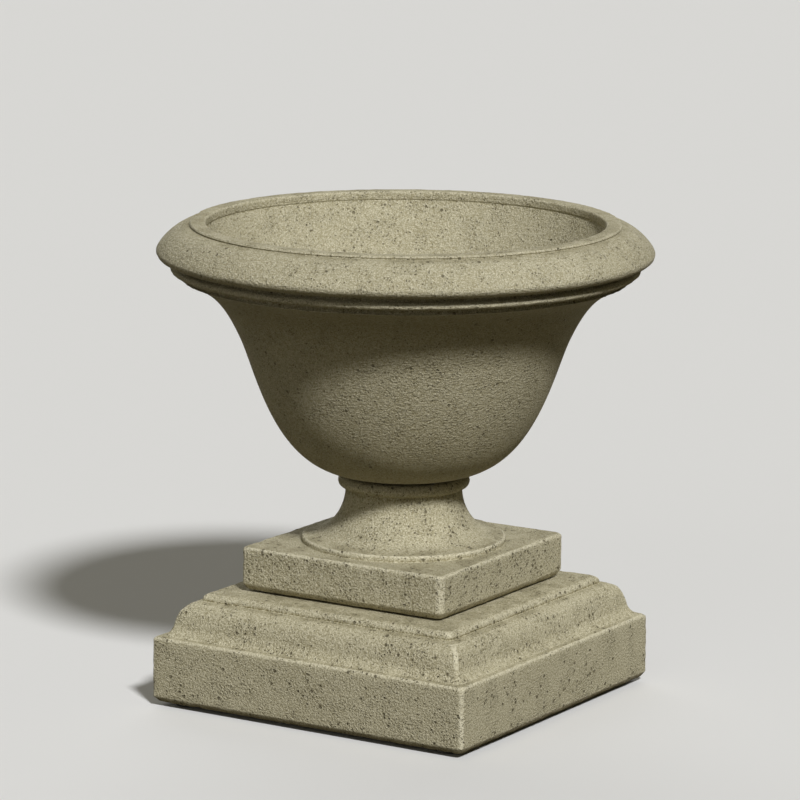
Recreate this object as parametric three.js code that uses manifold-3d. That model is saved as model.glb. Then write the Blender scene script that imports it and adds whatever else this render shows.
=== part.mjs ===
// Garden urn of cast stone: a wide bell bowl on a flared foot, standing on a low square plinth.
// Millimetres, +Z up. The origin lies on the ground under the middle of the plinth.
import * as THREE from 'three';
import { mergeVertices } from 'three/addons/utils/BufferGeometryUtils.js';
import Module from 'manifold-3d';

const wasm = await Module();
wasm.setup();

// Clearances between pieces, and how far a cut runs past the face that it leaves by
const SEAT_GAP = 0.3;
const SLEEVE_CLEARANCE = 0.6;
const CUT_OVERRUN = 4;

// Levelling pads on the ground, one under each corner of the plinth
const PAD_DIAMETER = 32;
const PAD_THICKNESS = 4.7;
const PAD_INSET = 30;

// Plinth: fascia, ledge, ogee moulding, then a low platform that carries the urn
const PLINTH_WIDTH = 402.5;
const PLINTH_CORNER_RADIUS = 4;
const PLINTH_BEVEL_DEPTH = 4.5;
const PLINTH_BEVEL_HEIGHT = 6.5;
const FASCIA_HEIGHT = 74.5;
const FASCIA_ARRIS = 4;
const LEDGE_WIDTH = 7.5;
const OGEE_WIDTH = 30;
const OGEE_HEIGHT = 37.5;
const OGEE_SILL = 2.2;
const PLATFORM_HEIGHT = 9;
const PLATFORM_CURVE_WIDTH = 8.5;
const PLATFORM_CURVE_HEIGHT = 6.2;

// Plinth underneath: the hollow of the casting and the drain hole above it
const PLINTH_WALL = 50;
const PLINTH_TOP_THICKNESS = 46;
const HOLLOW_DRAFT = 5;
const PLINTH_DRAIN_RADIUS = 28;

// Setting shims between plinth and foot
const SHIM_WIDTH = 34;
const SHIM_THICKNESS = 1.4;
const SHIM_INSET = 36;

// Foot: square slab, round flange, hollow-curved stem and collar, all one casting
const SLAB_WIDTH = 261.5;
const SLAB_HEIGHT = 49;
const SLAB_CORNER_RADIUS = 7;
const SLAB_ARRIS = 4;
const SLAB_BEVEL_DEPTH = 4.5;
const SLAB_BEVEL_HEIGHT = 7;
const FLANGE_RADIUS = 113.8;
const FLANGE_HEIGHT = 7;
const FLANGE_ARRIS = 3;
const STEM_HEIGHT = 54;
const NECK_RADIUS = 65;
const COLLAR_PROJECTION = 8.5;
const COLLAR_UNDERCUT = 2;
const COLLAR_HEIGHT = 14.3;
const COLLAR_SEAT_RADIUS = 66;

// Drain sleeve, which also centres the bowl on the foot
const SLEEVE_RADIUS = 17;
const SLEEVE_WALL = 3;
const SLEEVE_SEAT_DEPTH = 60;
const SLEEVE_DROP = 2;

// Bedding ring between collar and bowl, set back out of sight
const BED_SETBACK = 8;
const BED_WIDTH = 24;
const BED_THICKNESS = 3.1;

// Bowl, measured up from its underside: belly, flare, fillet, quirk, bead, recess, roll, band
const SEAT_RADIUS = 77;
const BELLY_HEIGHT = 151;
const WAIST_RADIUS = 182.5;
const FLARE_HEIGHT = 66.5;
const FILLET_HEIGHT = 1.8;
const QUIRK_HEIGHT = 4;
const QUIRK_DEPTH = 2;
const BEAD_HEIGHT = 10.5;
const RECESS_HEIGHT = 2;
const RECESS_DEPTH = 7.5;
const ROLL_UNDER_HEIGHT = 11.7;
const ROLL_HEIGHT = 28.2;
const RIM_RADIUS = 274.5;
const ROLL_LIP_SET = 13.5;
const BEAD_SET = 3.5;
const FILLET_SET = 11.5;
const BAND_HEIGHT = 3.8;
const BAND_WIDTH = 18.5;
const BAND_QUIRK = 1.2;
const BAND_OUTER_ARRIS = 1.8;
const BAND_INNER_ARRIS = 2.5;

// Bowl inside
const MOUTH_RADIUS = 219.5;
const LIP_DEPTH = 9.3;
const LIP_UNDERCUT = 2;
const WALL_THICKNESS = 31;
const FLOOR_THICKNESS = 32;
const FLOOR_RADIUS = 60;

// The two handles of each curve, as [outward, upward] shares of its run and its rise
const FROM_UPRIGHT_SHARES = [[0, 0.55], [0.45, 1]];
const FROM_LEVEL_SHARES = [[0.55, 0], [1, 0.45]];
const OGEE_TURN_SHARES = [0.31, 0.33];
const OGEE_COVE_SHARES = [[0.3, 0], [0.93, 0.5]];
const OGEE_ROUND_SHARES = [[0.1, 0.72], [0.54, 1]];
const BELLY_SHARES = [[0.667, 0.11], [0.845, 0.764]];
const FLARE_SHARES = [[0.317, 0.66], [0.57, 0.83]];
const ROLL_UNDER_SHARES = [[0.52, 0.38], [1, 0.58]];
const ROLL_SHARES = [[0, 0.12], [0.42, 0.92]];
const INNER_FLARE_SHARES = [[0.3, 0.36], [0.7, 0.66]];
const INNER_BELLY_SHARES = [[0.25, 0.42], [0.43, 0.98]];

// Smoothness, as counts of facets
const BOWL_SIDES = 60;
const FOOT_SIDES = 48;
const SMALL_SIDES = 28;
const LONG_CURVE_STEPS = 9;
const SHORT_CURVE_STEPS = 5;
const ARRIS_STEPS = 3;

// Heights within each piece, measured up from its own underside
const plinthHeight = FASCIA_HEIGHT + OGEE_HEIGHT + PLATFORM_HEIGHT;
const flangeTop = SLAB_HEIGHT + FLANGE_HEIGHT;
const neckTop = flangeTop + STEM_HEIGHT;
const footHeight = neckTop + COLLAR_HEIGHT;
const flareTop = BELLY_HEIGHT + FLARE_HEIGHT;
const filletTop = flareTop + FILLET_HEIGHT;
const beadFoot = filletTop + QUIRK_HEIGHT;
const beadTop = beadFoot + BEAD_HEIGHT;
const rollFoot = beadTop + RECESS_HEIGHT;
const noseHeight = rollFoot + ROLL_UNDER_HEIGHT;
const rollTop = noseHeight + ROLL_HEIGHT;
const bowlHeight = rollTop + BAND_HEIGHT;

// Heights of the pieces above the ground
const plinthZ = PAD_THICKNESS + SEAT_GAP;
const shimZ = plinthZ + plinthHeight + SEAT_GAP;
const footZ = shimZ + SHIM_THICKNESS + SEAT_GAP;
const bedZ = footZ + footHeight + SEAT_GAP;
const bowlZ = bedZ + BED_THICKNESS + SEAT_GAP;
const sleeveZ = footZ + footHeight - SLEEVE_SEAT_DEPTH + SEAT_GAP;
const sleeveTop = bowlZ + FLOOR_THICKNESS - SLEEVE_DROP;

// Radii that the drain's pieces share
const sleeveBoreRadius = SLEEVE_RADIUS + SLEEVE_CLEARANCE;
const drainRadius = SLEEVE_RADIUS - SLEEVE_WALL;

// An outline of distances out from the middle and heights, drawn from point to point
class Outline {
  constructor(out, up) {
    this.points = [new THREE.Vector2(out, up)];
  }

  line(out, up) {
    this.points.push(new THREE.Vector2(out, up));
    return this;
  }

  // A curve shaped by its two handles, which are shares of the way to its end
  curve(out, up, shares, steps) {
    const from = this.points.at(-1);
    const to = new THREE.Vector2(out, up);
    const way = to.clone().sub(from);
    const [first, second] = shares.map((share) => new THREE.Vector2(...share).multiply(way).add(from));
    const curve = new THREE.CubicBezierCurve(from, first, second, to);
    this.points.push(...curve.getPoints(steps).slice(1));
    return this;
  }
}

// A body turned about the Z axis from an outline of radius and height
function turned(outline, sides) {
  const geometry = new THREE.LatheGeometry(outline.points, sides);
  geometry.rotateX(Math.PI / 2);
  return geometry;
}

// One level of a square moulding: a square ring with rounded corners
function squareRing(halfWidth, height, cornerRadius) {
  const ring = [];
  for (let corner = 0; corner < 4; corner += 1) {
    const middle = new THREE.Vector2(halfWidth - cornerRadius, halfWidth - cornerRadius);
    middle.rotateAround(new THREE.Vector2(), (corner * Math.PI) / 2);
    for (let step = 0; step <= ARRIS_STEPS; step += 1) {
      const angle = ((corner + step / ARRIS_STEPS) * Math.PI) / 2;
      ring.push(new THREE.Vector3(
        middle.x + cornerRadius * Math.cos(angle), middle.y + cornerRadius * Math.sin(angle), height,
      ));
    }
  }
  return ring;
}

// A square body lofted up an outline of half width and height, closed flat below and above
function squareLoft(outline, cornerRadius) {
  const rings = outline.points.map((point) => squareRing(point.x, point.y, cornerRadius));
  const count = rings[0].length;
  const index = [];
  for (let level = 0; level + 1 < rings.length; level += 1) {
    for (let side = 0; side < count; side += 1) {
      const below = level * count + side;
      const belowNext = level * count + ((side + 1) % count);
      index.push(below, belowNext, belowNext + count, below, belowNext + count, below + count);
    }
  }
  const bottomMiddle = rings.length * count;
  const topRing = bottomMiddle - count;
  for (let side = 0; side < count; side += 1) {
    const next = (side + 1) % count;
    index.push(bottomMiddle, next, side, bottomMiddle + 1, topRing + side, topRing + next);
  }
  const middles = [rings.at(0), rings.at(-1)].map((ring) => new THREE.Vector3(0, 0, ring[0].z));
  const points = [...rings.flat(), ...middles];
  const geometry = new THREE.BufferGeometry().setFromPoints(points);
  geometry.setIndex(index);
  return geometry;
}

// A mesh as a solid that can be joined and cut
function toSolid(geometry) {
  const bare = geometry.clone();
  bare.deleteAttribute('normal');
  bare.deleteAttribute('uv');
  const welded = mergeVertices(bare);
  const mesh = new wasm.Mesh({
    numProp: 3,
    vertProperties: new Float32Array(welded.getAttribute('position').array),
    triVerts: new Uint32Array(welded.getIndex().array),
  });
  return new wasm.Manifold(mesh);
}

// A solid back as a mesh
function toGeometry(solid) {
  const mesh = solid.getMesh();
  const geometry = new THREE.BufferGeometry();
  geometry.setAttribute('position', new THREE.BufferAttribute(mesh.vertProperties, 3));
  geometry.setIndex(new THREE.BufferAttribute(mesh.triVerts, 1));
  geometry.computeVertexNormals();
  return geometry;
}

// A round solid that bores the middle of a piece from one height to another
function boreCutter(radius, bottom, top) {
  const geometry = new THREE.CylinderGeometry(radius, radius, top - bottom, SMALL_SIDES);
  geometry.rotateX(Math.PI / 2);
  geometry.translate(0, 0, (bottom + top) / 2);
  return toSolid(geometry);
}

// Plinth outline: bevel, fascia, ledge, ogee with its sill, and the platform's rounded edge
function plinthOutline() {
  const half = PLINTH_WIDTH / 2;
  const ogeeFoot = half - LEDGE_WIDTH;
  const ogeeTop = FASCIA_HEIGHT + OGEE_HEIGHT;
  const [turnOut, turnUp] = OGEE_TURN_SHARES;
  const turn = new THREE.Vector2(ogeeFoot - turnOut * OGEE_WIDTH, FASCIA_HEIGHT + turnUp * OGEE_HEIGHT);
  const platformHalf = ogeeFoot - OGEE_WIDTH - OGEE_SILL;
  return new Outline(half - PLINTH_BEVEL_DEPTH, 0)
    .line(half, PLINTH_BEVEL_HEIGHT)
    .line(half, FASCIA_HEIGHT - FASCIA_ARRIS)
    .curve(half - FASCIA_ARRIS, FASCIA_HEIGHT, FROM_UPRIGHT_SHARES, ARRIS_STEPS)
    .line(ogeeFoot, FASCIA_HEIGHT)
    .curve(turn.x, turn.y, OGEE_COVE_SHARES, SHORT_CURVE_STEPS)
    .curve(ogeeFoot - OGEE_WIDTH, ogeeTop, OGEE_ROUND_SHARES, SHORT_CURVE_STEPS)
    .line(platformHalf, ogeeTop)
    .line(platformHalf, plinthHeight - PLATFORM_CURVE_HEIGHT)
    .curve(platformHalf - PLATFORM_CURVE_WIDTH, plinthHeight, FROM_UPRIGHT_SHARES, SHORT_CURVE_STEPS);
}

// Plinth: moulded outside, hollow underneath, with a drain hole through its top
function plinthGeometry() {
  const hollowHalf = PLINTH_WIDTH / 2 - PLINTH_WALL;
  const hollowTop = plinthHeight - PLINTH_TOP_THICKNESS;
  const hollowOutline = new Outline(hollowHalf, -CUT_OVERRUN).line(hollowHalf - HOLLOW_DRAFT, hollowTop);
  const block = toSolid(squareLoft(plinthOutline(), PLINTH_CORNER_RADIUS));
  const hollow = toSolid(squareLoft(hollowOutline, PLINTH_CORNER_RADIUS));
  const drain = boreCutter(PLINTH_DRAIN_RADIUS, hollowTop - CUT_OVERRUN, plinthHeight + CUT_OVERRUN);
  return toGeometry(block.subtract(hollow).subtract(drain));
}

// Slab outline: bevelled at the foot, softened at the top edge
function slabOutline() {
  const half = SLAB_WIDTH / 2;
  return new Outline(half - SLAB_BEVEL_DEPTH, 0)
    .line(half, SLAB_BEVEL_HEIGHT)
    .line(half, SLAB_HEIGHT - SLAB_ARRIS)
    .curve(half - SLAB_ARRIS, SLAB_HEIGHT, FROM_UPRIGHT_SHARES, ARRIS_STEPS);
}

// Stem outline: flange, hollow curve up to the neck, and the round-edged collar
function stemOutline() {
  const rootInSlab = SLAB_HEIGHT / 2;
  const collarNose = neckTop + COLLAR_HEIGHT / 2;
  return new Outline(0, rootInSlab)
    .line(FLANGE_RADIUS, rootInSlab)
    .line(FLANGE_RADIUS, flangeTop - FLANGE_ARRIS)
    .curve(FLANGE_RADIUS - FLANGE_ARRIS, flangeTop, FROM_UPRIGHT_SHARES, ARRIS_STEPS)
    .curve(NECK_RADIUS, neckTop, FROM_LEVEL_SHARES, LONG_CURVE_STEPS)
    .line(NECK_RADIUS + COLLAR_UNDERCUT, neckTop)
    .curve(NECK_RADIUS + COLLAR_PROJECTION, collarNose, FROM_LEVEL_SHARES, ARRIS_STEPS)
    .curve(COLLAR_SEAT_RADIUS, footHeight, FROM_UPRIGHT_SHARES, ARRIS_STEPS)
    .line(0, footHeight);
}

// Foot: stem and slab in one, bored for the drain and counterbored for the sleeve
function footGeometry() {
  const seat = footHeight - SLEEVE_SEAT_DEPTH;
  const stem = toSolid(turned(stemOutline(), FOOT_SIDES));
  const slab = toSolid(squareLoft(slabOutline(), SLAB_CORNER_RADIUS));
  const drain = boreCutter(drainRadius, -CUT_OVERRUN, seat + CUT_OVERRUN);
  const socket = boreCutter(sleeveBoreRadius, seat, footHeight + CUT_OVERRUN);
  return toGeometry(slab.add(stem).subtract(drain).subtract(socket));
}

// Bowl outline, up the outside (belly, flare, fillet, quirk, bead, recess, roll and band),
// over the lip, down the inside to the floor, and back down the drain hole
function bowlOutline() {
  const lipRadius = RIM_RADIUS - ROLL_LIP_SET;
  const beadRadius = lipRadius - BEAD_SET;
  const filletRadius = beadRadius - FILLET_SET;
  const recessRadius = beadRadius - RECESS_DEPTH;
  const bandRadius = MOUTH_RADIUS + BAND_WIDTH;
  const lipFoot = bowlHeight - LIP_DEPTH;
  return new Outline(sleeveBoreRadius, 0)
    .line(SEAT_RADIUS, 0)
    .curve(WAIST_RADIUS, BELLY_HEIGHT, BELLY_SHARES, LONG_CURVE_STEPS)
    .curve(filletRadius, flareTop, FLARE_SHARES, LONG_CURVE_STEPS)
    .line(filletRadius, filletTop)
    .line(filletRadius - QUIRK_DEPTH, filletTop)
    .line(filletRadius - QUIRK_DEPTH, beadFoot)
    .line(recessRadius, beadFoot)
    .curve(beadRadius, beadFoot + BEAD_HEIGHT / 2, FROM_LEVEL_SHARES, ARRIS_STEPS)
    .curve(recessRadius, beadTop, FROM_UPRIGHT_SHARES, ARRIS_STEPS)
    .line(recessRadius, rollFoot)
    .line(lipRadius, rollFoot)
    .curve(RIM_RADIUS, noseHeight, ROLL_UNDER_SHARES, SHORT_CURVE_STEPS)
    .curve(bandRadius - BAND_QUIRK, rollTop, ROLL_SHARES, LONG_CURVE_STEPS)
    .line(bandRadius, rollTop + BAND_QUIRK)
    .line(bandRadius, bowlHeight - BAND_OUTER_ARRIS)
    .curve(bandRadius - BAND_OUTER_ARRIS, bowlHeight, FROM_UPRIGHT_SHARES, ARRIS_STEPS)
    .line(MOUTH_RADIUS + BAND_INNER_ARRIS, bowlHeight)
    .curve(MOUTH_RADIUS, bowlHeight - BAND_INNER_ARRIS, FROM_LEVEL_SHARES, ARRIS_STEPS)
    .line(MOUTH_RADIUS, lipFoot)
    .line(MOUTH_RADIUS + LIP_UNDERCUT, lipFoot - LIP_UNDERCUT)
    .curve(WAIST_RADIUS - WALL_THICKNESS, BELLY_HEIGHT, INNER_FLARE_SHARES, SHORT_CURVE_STEPS)
    .curve(FLOOR_RADIUS, FLOOR_THICKNESS, INNER_BELLY_SHARES, LONG_CURVE_STEPS)
    .line(sleeveBoreRadius, FLOOR_THICKNESS)
    .line(sleeveBoreRadius, 0);
}

// A ring or tube between two radii, from its own underside up
function ringGeometry(outerRadius, innerRadius, height) {
  const outline = new Outline(innerRadius, 0)
    .line(outerRadius, 0)
    .line(outerRadius, height)
    .line(innerRadius, height)
    .line(innerRadius, 0);
  return turned(outline, SMALL_SIDES);
}

// Levelling pad: a plain round disc
function padGeometry() {
  const radius = PAD_DIAMETER / 2;
  const outline = new Outline(0, 0)
    .line(radius, 0)
    .line(radius, PAD_THICKNESS)
    .line(0, PAD_THICKNESS);
  return turned(outline, SMALL_SIDES);
}

// Setting shim: a thin square leaf
function shimGeometry() {
  const geometry = new THREE.BoxGeometry(SHIM_WIDTH, SHIM_WIDTH, SHIM_THICKNESS);
  geometry.translate(0, 0, SHIM_THICKNESS / 2);
  return geometry;
}

const urn = new THREE.Group();

// Adds one named piece with a matt finish, at its place above the ground
function addPiece(name, geometry, [color, roughness], x, y, z) {
  const material = new THREE.MeshStandardMaterial({ color, roughness, metalness: 0 });
  const mesh = new THREE.Mesh(geometry, material);
  mesh.name = name;
  mesh.position.set(x, y, z);
  urn.add(mesh);
}

// Finishes, each as [colour, roughness]
const PLINTH_STONE = [0xaea78c, 0.92];
const FOOT_STONE = [0xb3ac91, 0.9];
const BOWL_STONE = [0xb6af95, 0.9];
const MORTAR = [0x6f6a5e, 0.95];
const PIPE_PLASTIC = [0x8a8c8a, 0.5];
const PACKING_PLASTIC = [0x4a4a48, 0.7];
const RUBBER = [0x2c2b29, 0.85];

addPiece('plinth', plinthGeometry(), PLINTH_STONE, 0, 0, plinthZ);
addPiece('foot', footGeometry(), FOOT_STONE, 0, 0, footZ);
addPiece('bowl', turned(bowlOutline(), BOWL_SIDES), BOWL_STONE, 0, 0, bowlZ);

const bedRadius = COLLAR_SEAT_RADIUS - BED_SETBACK;
addPiece('bedding_ring', ringGeometry(bedRadius, bedRadius - BED_WIDTH, BED_THICKNESS), MORTAR, 0, 0, bedZ);

const sleeve = ringGeometry(SLEEVE_RADIUS, drainRadius, sleeveTop - sleeveZ);
addPiece('drain_sleeve', sleeve, PIPE_PLASTIC, 0, 0, sleeveZ);

// A pad under each corner of the plinth and a shim under each corner of the slab
const padPlace = PLINTH_WIDTH / 2 - PAD_INSET;
const shimPlace = SLAB_WIDTH / 2 - SHIM_INSET;
const corners = [
  ['front_left', -1, -1],
  ['front_right', 1, -1],
  ['back_right', 1, 1],
  ['back_left', -1, 1],
];
for (const [corner, alongX, alongY] of corners) {
  addPiece(`levelling_pad_${corner}`, padGeometry(), RUBBER, alongX * padPlace, alongY * padPlace, 0);
  addPiece(
    `setting_shim_${corner}`, shimGeometry(), PACKING_PLASTIC, alongX * shimPlace, alongY * shimPlace, shimZ,
  );
}

export default urn;
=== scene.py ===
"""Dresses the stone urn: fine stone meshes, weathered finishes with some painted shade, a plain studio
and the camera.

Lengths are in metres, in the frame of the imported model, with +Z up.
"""

import logging
import math
from collections.abc import Callable
from dataclasses import dataclass
from enum import Enum

import bpy
import numpy as np
from mathutils import Matrix, Vector, noise


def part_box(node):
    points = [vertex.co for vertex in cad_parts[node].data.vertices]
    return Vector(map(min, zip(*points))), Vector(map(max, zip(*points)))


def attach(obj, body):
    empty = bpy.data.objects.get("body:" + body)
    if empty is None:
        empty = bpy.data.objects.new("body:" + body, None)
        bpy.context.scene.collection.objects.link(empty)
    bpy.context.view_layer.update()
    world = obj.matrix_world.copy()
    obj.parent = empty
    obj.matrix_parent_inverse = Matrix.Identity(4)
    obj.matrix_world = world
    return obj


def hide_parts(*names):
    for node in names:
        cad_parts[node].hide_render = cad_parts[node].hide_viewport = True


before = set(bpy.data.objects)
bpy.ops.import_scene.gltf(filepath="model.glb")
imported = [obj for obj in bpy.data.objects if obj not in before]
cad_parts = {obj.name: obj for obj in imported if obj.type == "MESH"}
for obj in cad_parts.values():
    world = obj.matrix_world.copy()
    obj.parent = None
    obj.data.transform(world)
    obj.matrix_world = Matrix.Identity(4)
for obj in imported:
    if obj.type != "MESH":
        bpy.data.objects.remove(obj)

LOG = logging.getLogger("urn")
MM = 0.001

Colour = tuple[float, float, float, float]
Handles = tuple[tuple[float, float], tuple[float, float]]

# Handles of a quarter round, named after the direction in which it sets off.
FROM_UPRIGHT: Handles = ((0.0, 0.55), (0.45, 1.0))
FROM_LEVEL: Handles = ((0.55, 0.0), (1.0, 0.45))

# A corner that turns less than the first isn't rounded, and the second counts as fully sharp.
LEAST_TURN = math.radians(14)
SHARP_TURN = math.radians(70)

# How far back from an edge its rounding starts, and the share of a stretch that it may take.
EDGE_ROUNDING = 1.1 * MM
ROUNDING_SHARE = 0.45

# How far along an outline each way bends are measured, for edges and for hollows.
EDGE_REACH = 3.2 * MM
HOLLOW_REACH = 9 * MM

# Stations repeated at both ends of a closed outline, to measure bends there.
LAP = 8

# A normal that stands up more than this belongs to a level face.
LEVEL_NORMAL = 0.98

# Room for rounding errors where sizes are compared.
TOLERANCE = 1 * MM


class Corner(Enum):
    """The four corners, named as seen from the front (-Y) side."""

    FRONT_LEFT = "front_left"
    FRONT_RIGHT = "front_right"
    BACK_RIGHT = "back_right"
    BACK_LEFT = "back_left"

    def node(self, piece: str) -> str:
        """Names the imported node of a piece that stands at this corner."""
        return f"{piece}_{self.value}"


class Outline:
    """An outline of distances out from the middle and heights, drawn from point to point."""

    def __init__(self, out: float, up: float) -> None:
        """Starts the outline at a point."""
        self.points = [np.array([out, up])]

    def line(self, out: float, up: float) -> "Outline":
        """Draws a straight stretch.

        Args:
            out: Distance out from the middle where the stretch ends.
            up: Height where it ends.

        Returns:
            The outline itself, so that calls can be chained.
        """
        self.points.append(np.array([out, up]))
        return self

    def curve(self, out: float, up: float, shares: Handles, steps: int = 24) -> "Outline":
        """Draws a curve that its two handles shape.

        Args:
            out: Distance out from the middle where the curve ends.
            up: Height where it ends.
            shares: The handles, as shares of the way out and the way up.
            steps: How many straight steps make the curve.

        Returns:
            The outline itself, so that calls can be chained.
        """
        start, end = self.points[-1], np.array([out, up])
        first, second = (start + (end - start) * np.array(share) for share in shares)
        for done in np.linspace(0.0, 1.0, steps + 1)[1:]:
            left = 1.0 - done
            self.points.append(
                left**3 * start
                + 3 * left * left * done * first
                + 3 * left * done * done * second
                + done**3 * end
            )
        return self

    def softened(self, radius: float) -> "Outline":
        """Rounds every corner a little, as cast stone has no knife edges.

        Args:
            radius: How far back from a corner its rounding starts.

        Returns:
            A new outline.
        """
        points = self.points
        soft = Outline(*points[0])
        for before, here, after in zip(points, points[1:], points[2:]):
            into, away = here - before, after - here
            reach_in, reach_out = np.linalg.norm(into), np.linalg.norm(away)
            turn = math.acos(max(-1.0, min(1.0, float(into @ away) / (reach_in * reach_out))))
            if turn < LEAST_TURN:
                soft.line(*here)
                continue
            start = here - into * min(ROUNDING_SHARE, radius / reach_in)
            end = here + away * min(ROUNDING_SHARE, radius / reach_out)
            soft.line(*start)
            for done in (0.25, 0.5, 0.75):
                left = 1 - done
                soft.line(*(left**2 * start + 2 * done * left * here + done * done * end))
            soft.line(*end)
        return soft.line(*points[-1])

    def stations(self, spacing: float) -> np.ndarray:
        """Splits long stretches, so that no two points lie further apart than the spacing.

        Args:
            spacing: The widest step.

        Returns:
            Rows of [out, up].
        """
        rows = [self.points[0]]
        for before, after in zip(self.points, self.points[1:]):
            count = max(1, math.ceil(float(np.linalg.norm(after - before)) / spacing))
            rows.extend(before + (after - before) * step / count for step in range(1, count + 1))
        return np.array(rows)


def bends(stations: np.ndarray, reach: float) -> np.ndarray:
    """Measures how sharply an outline bends at each station.

    Args:
        stations: Rows of [out, up], drawn so that the solid lies on the left.
        reach: How far along the outline each way the bend is measured.

    Returns:
        One number a station: up to 1 on a sharp arris, down to -1 in a sharp recess.
    """
    steps = np.linalg.norm(np.diff(stations, axis=0), axis=1)
    along = np.concatenate([[0.0], np.cumsum(steps)])

    def at(places: np.ndarray) -> np.ndarray:
        """Finds the outline's points at these lengths along it."""
        return np.stack([np.interp(places, along, stations[:, axis]) for axis in (0, 1)], axis=1)

    into = stations - at(along - reach)
    away = at(along + reach) - stations
    cross = into[:, 0] * away[:, 1] - into[:, 1] * away[:, 0]
    turn = np.arctan2(cross, (into * away).sum(axis=1))
    return np.clip(turn / SHARP_TURN, -1.0, 1.0)


@dataclass(frozen=True)
class Plan:
    """How a piece runs round in plan: as rounded squares that may open out into circles.

    Attributes:
        sides: How many points make one level.
        crowding: Above 1, the points lie closer together near the corners.
        edge_width: How far along the sides a square's corner still counts as an edge.
        blunt_corner: The corner radius from which on a corner is no edge at all.
    """

    sides: int
    crowding: float = 1.0
    edge_width: float = 2 * MM
    blunt_corner: float = 20 * MM

    def fractions(self) -> np.ndarray:
        """Gives the places along one quarter, from -0.5 to 0.5, with a corner in its middle.

        Returns:
            The places in order.
        """
        count = self.sides // 4
        even = (np.arange(count) + 0.5) / count * 2.0 - 1.0
        return 0.5 * np.sign(even) * np.abs(even) ** self.crowding

    def ring(self, half: float, corner: float) -> tuple[np.ndarray, np.ndarray]:
        """Makes one level in plan.

        Args:
            half: Half width of the square, or the radius of a circle.
            corner: Radius of the square's corners; a circle has corners as large as its radius.

        Returns:
            The points in plan, and for each one how much it lies on a corner.
        """
        arc = math.pi * corner / 4
        straight = half - corner
        along = self.fractions() * 2 * (arc + straight)
        on_arc = np.clip(along, -arc, arc)
        past = along - on_arc
        angle = on_arc / corner + math.pi / 4
        x = straight + corner * np.cos(angle) - np.maximum(past, 0.0)
        y = straight + corner * np.sin(angle) + np.minimum(past, 0.0)
        quarters = [np.stack([x, y], axis=1)]
        for _ in range(3):
            quarters.append(quarters[-1][:, ::-1] * (-1.0, 1.0))
        sharpness = np.clip(1.0 - corner / self.blunt_corner, 0.0, 1.0)
        on_corner = sharpness * np.clip(1.0 - np.abs(past) / self.edge_width, 0.0, 1.0)
        return np.concatenate(quarters), np.tile(on_corner, 4)


@dataclass
class Erosion:
    """How far casting and weather have taken the stone back from its true form.

    Attributes:
        sway: Depth of the slow unevenness all over.
        sway_reach: Width of its waves.
        wear: Depth of the wear along an arris.
        wear_reach: Width of its waves.
        chip: Depth of a chip out of an arris, for noise that passes the threshold by 1.
        chip_reach: Width of the chips' pattern.
        chip_threshold: The noise above which there is a chip.
        seed: Shifts the pattern.
    """

    sway: float = 0.35 * MM
    sway_reach: float = 70 * MM
    wear: float = 0.9 * MM
    wear_reach: float = 9 * MM
    chip: float = 6.4 * MM
    chip_reach: float = 24 * MM
    chip_threshold: float = 0.34
    seed: float = 0.0

    def depth(self, point: Vector, arris: float) -> float:
        """Works out how deep the surface lies under its true form at a point.

        Args:
            point: A point of the surface.
            arris: 1 on a sharp outer edge, 0 on a flat or in a recess.

        Returns:
            The depth, never below zero.
        """
        shifted = point + Vector((self.seed, -self.seed, self.seed))
        sway = self.sway * (0.5 + 0.5 * noise.noise(shifted / self.sway_reach))
        worn = self.wear * (0.45 + 0.55 * noise.fractal(shifted / self.wear_reach, 0.7, 2.0, 3))
        chipped = self.chip * max(0.0, noise.noise(shifted / self.chip_reach) - self.chip_threshold)
        return sway + arris * (max(0.0, worn) + chipped)


def raised(rings: np.ndarray, heights: np.ndarray) -> np.ndarray:
    """Lifts rings of points in plan to their heights, one height a ring."""
    return np.dstack([rings, np.broadcast_to(heights[:, None], rings.shape[:2])])


def loft(name: str, points: np.ndarray) -> bpy.types.Object:
    """Makes a smooth body from rings of points, the last of which joins on to the first.

    Args:
        name: Name of the piece.
        points: The points by ring, side and axis.

    Returns:
        The new object.
    """
    index = np.arange(points[:, :, 0].size).reshape(points.shape[:2])
    right, above = np.roll(index, -1, axis=1), np.roll(index, -1, axis=0)
    faces = np.stack([index, right, np.roll(right, -1, axis=0), above], axis=2).reshape(-1, 4)
    mesh = bpy.data.meshes.new(name)
    mesh.from_pydata(points.reshape(-1, 3).tolist(), [], faces.tolist())
    mesh.polygons.foreach_set("use_smooth", [True] * len(mesh.polygons))
    mesh.update()
    piece = bpy.data.objects.new(name, mesh)
    bpy.context.scene.collection.objects.link(piece)
    return piece


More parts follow.
